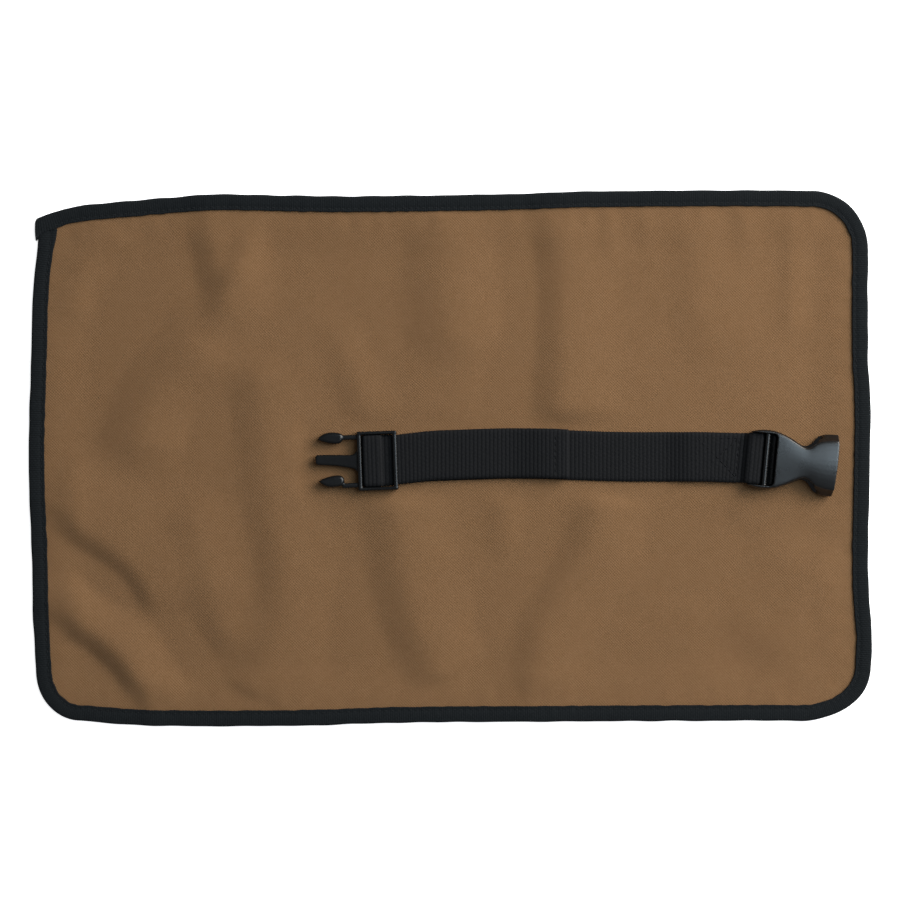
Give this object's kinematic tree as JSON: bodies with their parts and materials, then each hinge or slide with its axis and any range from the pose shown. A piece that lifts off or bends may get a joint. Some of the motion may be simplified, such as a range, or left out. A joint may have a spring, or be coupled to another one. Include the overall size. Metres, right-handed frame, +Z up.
{
  "type": "tool roll laid open",
  "caption": "Cloth tool roll laid open with its outer face up: a bound panel and a webbing strap with an unfastened side-release buckle that closes the roll.",
  "frame": {"origin": "on the surface that the roll lies on, under the middle of its outline", "axes": "+X along the roll towards the buckle's socket, +Y across it, +Z up out of the outer face"},
  "size_m": [0.4221, 0.2673, 0.012],
  "materials": {
    "cloth": "coarse brown polyester weave",
    "binding_tape": "black ribbed tape, matt",
    "webbing": "black ribbed webbing with a slight sheen",
    "buckle_plastic": "black moulded plastic, satin gloss"
  },
  "bodies": {
    "root": {"panel": "cloth", "edge_binding": "binding_tape", "strap": "webbing", "buckle_plug": "buckle_plastic", "buckle_socket": "buckle_plastic"}
  },
  "joints": []
}
